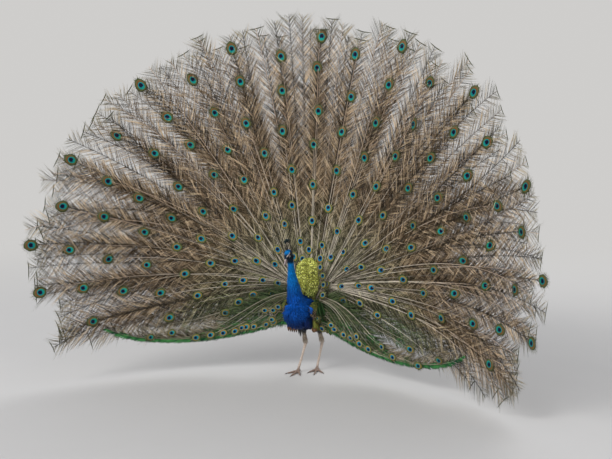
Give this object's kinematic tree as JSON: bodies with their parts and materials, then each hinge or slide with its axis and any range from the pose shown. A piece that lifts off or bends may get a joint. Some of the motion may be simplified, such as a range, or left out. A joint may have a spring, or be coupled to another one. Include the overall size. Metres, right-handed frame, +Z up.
{
  "type": "peacock",
  "caption": "Standing male Indian peafowl displaying its raised train: an upright cupped fan of eyespot feathers behind a slender blue neck and small crested head.",
  "frame": {"origin": "on the floor under the middle of the width and depth of the whole bird, raised train included", "axes": "+Z up from the floor, -Y the way the train and feet face, +X to the bird's left"},
  "size_m": [2.4872, 1.0216, 1.8936],
  "materials": {
    "body_blue": "satin feathered skin",
    "thigh_buff": "matt down",
    "bare_leg": "satin scales",
    "claw_horn": "satin horn",
    "bill_horn": "satin horn",
    "eye_dark": "wet gloss",
    "crest_feather": "satin feather",
    "wing_barred": "matt feather",
    "primary_chestnut": "matt feather",
    "back_gold": "metallic sheen on scale feathers",
    "tail_grey": "matt feather",
    "sword_green": "satin feather",
    "train_feather": "loose barbs with metallic eyespots"
  },
  "bodies": {
    "root": {"back_shield": "back_gold", "crest": "crest_feather", "head": "body_blue", "left_eye": "eye_dark", "left_foot": "bare_leg", "left_hind_claw": "claw_horn", "left_inner_claw": "claw_horn", "left_middle_claw": "claw_horn", "left_outer_claw": "claw_horn", "left_primaries": "primary_chestnut", "left_shank": "bare_leg", "left_sword_feathers": "sword_green", "left_thigh": "thigh_buff", "left_wing": "wing_barred", "lower_bill": "bill_horn", "neck": "body_blue", "right_eye": "eye_dark", "right_foot": "bare_leg", "right_hind_claw": "claw_horn", "right_inner_claw": "claw_horn", "right_middle_claw": "claw_horn", "right_outer_claw": "claw_horn", "right_primaries": "primary_chestnut", "right_shank": "bare_leg", "right_sword_feathers": "sword_green", "right_thigh": "thigh_buff", "right_wing": "wing_barred", "tail_feathers": "tail_grey", "train_left_01": "train_feather", "train_left_02": "train_feather", "train_left_03": "train_feather", "train_left_04": "train_feather", "train_left_05": "train_feather", "train_left_06": "train_feather", "train_left_07": "train_feather", "train_left_08": "train_feather", "train_left_09": "train_feather", "train_left_10": "train_feather", "train_middle": "train_feather", "train_right_01": "train_feather", "train_right_02": "train_feather", "train_right_03": "train_feather", "train_right_04": "train_feather", "train_right_05": "train_feather", "train_right_06": "train_feather", "train_right_07": "train_feather", "train_right_08": "train_feather", "train_right_09": "train_feather", "train_right_10": "train_feather", "trunk": "body_blue", "undertail": "tail_grey", "upper_bill": "bill_horn"}
  },
  "joints": []
}
